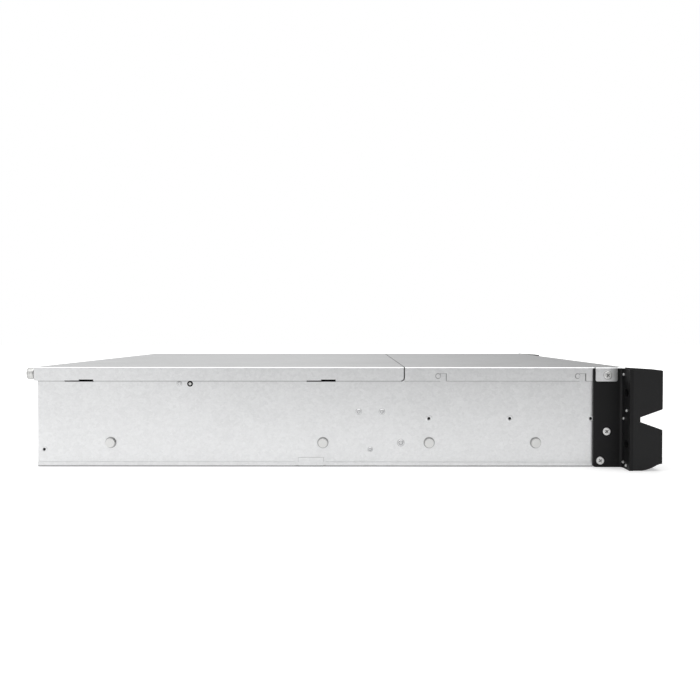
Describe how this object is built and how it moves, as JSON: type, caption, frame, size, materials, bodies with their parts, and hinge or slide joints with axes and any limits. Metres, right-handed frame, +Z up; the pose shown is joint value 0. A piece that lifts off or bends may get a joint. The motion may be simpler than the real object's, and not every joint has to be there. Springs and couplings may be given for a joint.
{
  "type": "disk shelf enclosure",
  "caption": "Two-unit rack-mount disk shelf: galvanised chassis with split top cover, notched black rack ears, front disk trays with swing levers, fans and rear slide-out power supplies.",
  "frame": {"origin": "in the underside, midway across, in the plane of the rack flanges' rear faces", "axes": "+X across the shelf to the right as seen from the front, +Y from the front to the rear, +Z up"},
  "size_m": [0.4826, 0.5666, 0.088],
  "materials": {
    "galvanised_steel": "galvanised, fine spangle",
    "black_steel": "satin black powder coat",
    "black_plastic": "fine-grained black moulding",
    "dark_plastic": "satin charcoal moulding",
    "tray_metal": "cast disk case in a sheet tray",
    "bright_screw": "bright zinc",
    "circuit_board": "green solder mask",
    "socket_plastic": "black socket moulding",
    "heatsink": "extruded, plain",
    "port_metal": "tinned port cage",
    "psu_case": "plain sheet case",
    "latch_plastic": "blue touch-point moulding",
    "fan_plastic": "black glass-filled moulding"
  },
  "bodies": {
    "chassis": {"bottom_pan": "galvanised_steel", "left_side_wall": "galvanised_steel", "right_side_wall": "galvanised_steel", "rear_panel": "galvanised_steel", "front_cover": "galvanised_steel", "cross_member": "galvanised_steel", "left_rack_bracket": "black_steel", "right_rack_bracket": "black_steel", "left_ear_cover": "black_plastic", "right_ear_cover": "black_plastic", "left_ear_insert": "black_plastic", "right_ear_insert": "black_plastic", "rail_studs": "bright_screw", "side_rivets": "bright_screw", "bracket_screws": "bright_screw", "cage_walls": "galvanised_steel", "backplane": "circuit_board", "backplane_sockets": "socket_plastic", "fan_bracket": "galvanised_steel", "fan_frames": "fan_plastic", "expander_board": "circuit_board", "heatsinks": "heatsink", "sas_ports": "port_metal", "psu_bay": "galvanised_steel", "power_board": "circuit_board"},
    "fan_rotor_1": {"fan_rotor_1": "fan_plastic"},
    "fan_rotor_2": {"fan_rotor_2": "fan_plastic"},
    "fan_rotor_3": {"fan_rotor_3": "fan_plastic"},
    "id_button": {"id_button": "dark_plastic"},
    "left_thumb_screw": {"left_thumb_screw": "bright_screw"},
    "lever_01": {"lever_01": "dark_plastic"},
    "lever_02": {"lever_02": "dark_plastic"},
    "lever_03": {"lever_03": "dark_plastic"},
    "lever_04": {"lever_04": "dark_plastic"},
    "lever_05": {"lever_05": "dark_plastic"},
    "lever_06": {"lever_06": "dark_plastic"},
    "lever_07": {"lever_07": "dark_plastic"},
    "lever_08": {"lever_08": "dark_plastic"},
    "lever_09": {"lever_09": "dark_plastic"},
    "lever_10": {"lever_10": "dark_plastic"},
    "lever_11": {"lever_11": "dark_plastic"},
    "lever_12": {"lever_12": "dark_plastic"},
    "psu_1": {"psu_1": "psu_case"},
    "psu_1_latch": {"psu_1_latch": "latch_plastic"},
    "psu_2": {"psu_2": "psu_case"},
    "psu_2_latch": {"psu_2_latch": "latch_plastic"},
    "rear_cover": {"rear_cover": "galvanised_steel"},
    "right_thumb_screw": {"right_thumb_screw": "bright_screw"},
    "tray_01": {"tray_01": "tray_metal"},
    "tray_02": {"tray_02": "tray_metal"},
    "tray_03": {"tray_03": "tray_metal"},
    "tray_04": {"tray_04": "tray_metal"},
    "tray_05": {"tray_05": "tray_metal"},
    "tray_06": {"tray_06": "tray_metal"},
    "tray_07": {"tray_07": "tray_metal"},
    "tray_08": {"tray_08": "tray_metal"},
    "tray_09": {"tray_09": "tray_metal"},
    "tray_10": {"tray_10": "tray_metal"},
    "tray_11": {"tray_11": "tray_metal"},
    "tray_12": {"tray_12": "tray_metal"}
  },
  "joints": [
    {"name": "rear_cover_slide", "type": "slide", "parent": "chassis", "child": "rear_cover", "axis": [0, 1, 0], "range_m": [0, 0.0128]},
    {"name": "left_thumb_screw_turn", "type": "hinge", "parent": "rear_cover", "child": "left_thumb_screw", "pos_m": [-0.21, 0.52, 0.0818], "axis": [0, 1, 0], "continuous": true},
    {"name": "right_thumb_screw_turn", "type": "hinge", "parent": "rear_cover", "child": "right_thumb_screw", "pos_m": [0.21, 0.52, 0.0818], "axis": [0, 1, 0], "continuous": true},
    {"name": "id_button_press", "type": "slide", "parent": "chassis", "child": "id_button", "axis": [0, 1, 0], "range_m": [0, 0.0008], "stiffness_N_per_m": 400},
    {"name": "tray_01_slide", "type": "slide", "parent": "chassis", "child": "tray_01", "axis": [0, -1, 0], "range_m": [0, 0.18]},
    {"name": "lever_01_swing", "type": "hinge", "parent": "tray_01", "child": "lever_01", "pos_m": [-0.2102, -0.00565, 0.0695], "axis": [0, 0, -1], "range_deg": [0, 65]},
    {"name": "tray_02_slide", "type": "slide", "parent": "chassis", "child": "tray_02", "axis": [0, -1, 0], "range_m": [0, 0.18]},
    {"name": "lever_02_swing", "type": "hinge", "parent": "tray_02", "child": "lever_02", "pos_m": [-0.1022, -0.00565, 0.0695], "axis": [0, 0, -1], "range_deg": [0, 65]},
    {"name": "tray_03_slide", "type": "slide", "parent": "chassis", "child": "tray_03", "axis": [0, -1, 0], "range_m": [0, 0.18]},
    {"name": "lever_03_swing", "type": "hinge", "parent": "tray_03", "child": "lever_03", "pos_m": [0.0058, -0.00565, 0.0695], "axis": [0, 0, -1], "range_deg": [0, 65]},
    {"name": "tray_04_slide", "type": "slide", "parent": "chassis", "child": "tray_04", "axis": [0, -1, 0], "range_m": [0, 0.18]},
    {"name": "lever_04_swing", "type": "hinge", "parent": "tray_04", "child": "lever_04", "pos_m": [0.1138, -0.00565, 0.0695], "axis": [0, 0, -1], "range_deg": [0, 65]},
    {"name": "tray_05_slide", "type": "slide", "parent": "chassis", "child": "tray_05", "axis": [0, -1, 0], "range_m": [0, 0.18]},
    {"name": "lever_05_swing", "type": "hinge", "parent": "tray_05", "child": "lever_05", "pos_m": [-0.2102, -0.00565, 0.0412], "axis": [0, 0, -1], "range_deg": [0, 65]},
    {"name": "tray_06_slide", "type": "slide", "parent": "chassis", "child": "tray_06", "axis": [0, -1, 0], "range_m": [0, 0.18]},
    {"name": "lever_06_swing", "type": "hinge", "parent": "tray_06", "child": "lever_06", "pos_m": [-0.1022, -0.00565, 0.0412], "axis": [0, 0, -1], "range_deg": [0, 65]},
    {"name": "tray_07_slide", "type": "slide", "parent": "chassis", "child": "tray_07", "axis": [0, -1, 0], "range_m": [0, 0.18]},
    {"name": "lever_07_swing", "type": "hinge", "parent": "tray_07", "child": "lever_07", "pos_m": [0.0058, -0.00565, 0.0412], "axis": [0, 0, -1], "range_deg": [0, 65]},
    {"name": "tray_08_slide", "type": "slide", "parent": "chassis", "child": "tray_08", "axis": [0, -1, 0], "range_m": [0, 0.18]},
    {"name": "lever_08_swing", "type": "hinge", "parent": "tray_08", "child": "lever_08", "pos_m": [0.1138, -0.00565, 0.0412], "axis": [0, 0, -1], "range_deg": [0, 65]},
    {"name": "tray_09_slide", "type": "slide", "parent": "chassis", "child": "tray_09", "axis": [0, -1, 0], "range_m": [0, 0.18]},
    {"name": "lever_09_swing", "type": "hinge", "parent": "tray_09", "child": "lever_09", "pos_m": [-0.2102, -0.00565, 0.0129], "axis": [0, 0, -1], "range_deg": [0, 65]},
    {"name": "tray_10_slide", "type": "slide", "parent": "chassis", "child": "tray_10", "axis": [0, -1, 0], "range_m": [0, 0.18]},
    {"name": "lever_10_swing", "type": "hinge", "parent": "tray_10", "child": "lever_10", "pos_m": [-0.1022, -0.00565, 0.0129], "axis": [0, 0, -1], "range_deg": [0, 65]},
    {"name": "tray_11_slide", "type": "slide", "parent": "chassis", "child": "tray_11", "axis": [0, -1, 0], "range_m": [0, 0.18]},
    {"name": "lever_11_swing", "type": "hinge", "parent": "tray_11", "child": "lever_11", "pos_m": [0.0058, -0.00565, 0.0129], "axis": [0, 0, -1], "range_deg": [0, 65]},
    {"name": "tray_12_slide", "type": "slide", "parent": "chassis", "child": "tray_12", "axis": [0, -1, 0], "range_m": [0, 0.18]},
    {"name": "lever_12_swing", "type": "hinge", "parent": "tray_12", "child": "lever_12", "pos_m": [0.1138, -0.00565, 0.0129], "axis": [0, 0, -1], "range_deg": [0, 65]},
    {"name": "fan_rotor_1_spin", "type": "hinge", "parent": "chassis", "child": "fan_rotor_1", "pos_m": [-0.13, 0.2235, 0.0434], "axis": [0, 1, 0], "continuous": true},
    {"name": "fan_rotor_2_spin", "type": "hinge", "parent": "chassis", "child": "fan_rotor_2", "pos_m": [0, 0.2235, 0.0434], "axis": [0, 1, 0], "continuous": true},
    {"name": "fan_rotor_3_spin", "type": "hinge", "parent": "chassis", "child": "fan_rotor_3", "pos_m": [0.13, 0.2235, 0.0434], "axis": [0, 1, 0], "continuous": true},
    {"name": "psu_1_slide", "type": "slide", "parent": "chassis", "child": "psu_1", "axis": [0, 1, 0], "range_m": [0, 0.19]},
    {"name": "psu_1_latch_press", "type": "slide", "parent": "psu_1", "child": "psu_1_latch", "axis": [-1, 0, 0], "range_m": [0, 0.0025], "stiffness_N_per_m": 600},
    {"name": "psu_2_slide", "type": "slide", "parent": "chassis", "child": "psu_2", "axis": [0, 1, 0], "range_m": [0, 0.19]},
    {"name": "psu_2_latch_press", "type": "slide", "parent": "psu_2", "child": "psu_2_latch", "axis": [-1, 0, 0], "range_m": [0, 0.0025], "stiffness_N_per_m": 600}
  ]
}
